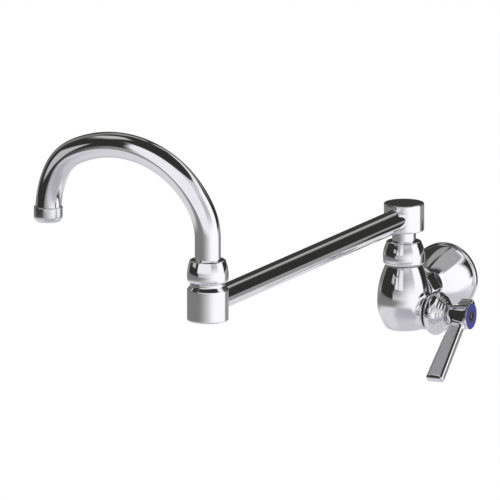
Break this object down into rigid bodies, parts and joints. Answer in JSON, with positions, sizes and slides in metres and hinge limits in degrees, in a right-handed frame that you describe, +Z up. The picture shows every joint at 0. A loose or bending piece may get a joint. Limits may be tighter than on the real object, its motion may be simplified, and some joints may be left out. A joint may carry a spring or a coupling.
{
  "type": "wall-mounted sink faucet",
  "caption": "Wall-mounted single-supply sink faucet with a side lever and a double-jointed swing spout that ends in a gooseneck with an aerator.",
  "frame": {"origin": "centre of the inlet thread at the wall, in the plane of the wall flange's back face", "axes": "+Y points into the wall, the faucet reaches towards -Y, +Z is up, the valve and its lever are on the +X side"},
  "size_m": [0.1954, 0.4225, 0.2323],
  "materials": {
    "polished_chrome": "mirror-polished chrome plate",
    "satin_chrome": "slightly satin chrome plate",
    "bare_brass": "machined",
    "stainless_steel": "machined",
    "ceramic": "lapped ceramic",
    "black_rubber": "moulded",
    "white_plastic": "moulded",
    "blue_index": "moulded"
  },
  "bodies": {
    "body": {"faucet_body": "polished_chrome", "inlet_tail": "polished_chrome", "tail_gasket": "black_rubber", "wall_flange": "polished_chrome", "body_nut": "polished_chrome", "body_nut_washer": "white_plastic", "seat_gasket": "black_rubber", "fixed_disc": "ceramic", "cartridge_sleeve": "bare_brass", "bonnet_gasket": "black_rubber", "bonnet": "polished_chrome"},
    "handle": {"stem": "stainless_steel", "stem_seal": "black_rubber", "turning_disc": "ceramic", "lever_handle": "polished_chrome", "handle_screw": "stainless_steel", "index_ring": "blue_index"},
    "swing_arm": {"rear_spigot": "polished_chrome", "spigot_seals": "black_rubber", "spigot_retaining_ring": "bare_brass", "rear_block": "polished_chrome", "arm_tube": "polished_chrome", "front_block": "polished_chrome", "front_nut_washer": "white_plastic", "front_nut": "polished_chrome"},
    "spout": {"spout_tube": "polished_chrome", "spout_sleeve": "bare_brass", "sleeve_seals": "black_rubber", "spout_retaining_ring": "bare_brass", "aerator_washer": "black_rubber", "aerator_screen": "stainless_steel", "aerator_shell": "satin_chrome"}
  },
  "joints": [
    {"name": "arm_swing", "type": "hinge", "parent": "body", "child": "swing_arm", "pos_m": [0, -0.073, 0.0594], "axis": [0, 0, 1], "range_deg": [-90, 90]},
    {"name": "spout_swing", "type": "hinge", "parent": "swing_arm", "child": "spout", "pos_m": [0, -0.4072, 0.08], "axis": [0, 0, 1], "continuous": true},
    {"name": "handle_turn", "type": "hinge", "parent": "body", "child": "handle", "pos_m": [0.045, -0.073, -0.0107], "axis": [1, 0, 0], "range_deg": [0, 90]}
  ]
}
